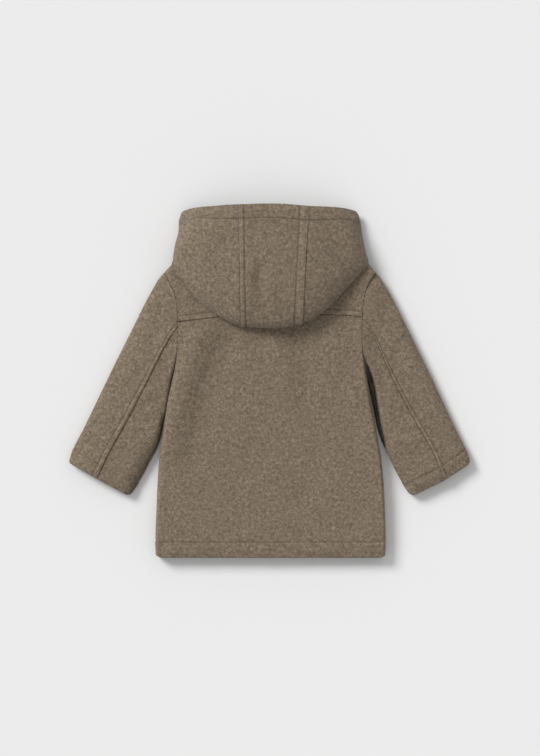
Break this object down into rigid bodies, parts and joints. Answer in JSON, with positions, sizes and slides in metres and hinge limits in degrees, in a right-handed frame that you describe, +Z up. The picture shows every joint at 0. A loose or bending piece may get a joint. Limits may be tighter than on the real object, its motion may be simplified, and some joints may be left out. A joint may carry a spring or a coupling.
{
  "type": "child's hooded duffle coat",
  "caption": "Small child's hooded wool coat laid flat on its front, with a yoked back, two-piece sleeves and a panelled hood thrown back over the shoulders.",
  "frame": {"origin": "on the surface under the coat, at the middle of its outline box, which is on the flat underside of the left front", "axes": "+X across the laid coat towards the wearer's right sleeve, +Y from the hem towards the hood, +Z up from the surface that the coat lies on"},
  "size_m": [0.547, 0.482, 0.0556],
  "materials": {
    "wool_cloth": "brushed heathered wool coating, matt",
    "sewing_thread": "matt thread in the cloth's colour"
  },
  "bodies": {
    "root": {"back_panel": "wool_cloth", "back_yoke": "wool_cloth", "front_left": "wool_cloth", "front_right": "wool_cloth", "hood_centre": "wool_cloth", "hood_side_left": "wool_cloth", "hood_side_right": "wool_cloth", "sleeve_left_under": "wool_cloth", "sleeve_left_upper": "wool_cloth", "sleeve_right_under": "wool_cloth", "sleeve_right_upper": "wool_cloth"}
  },
  "joints": []
}
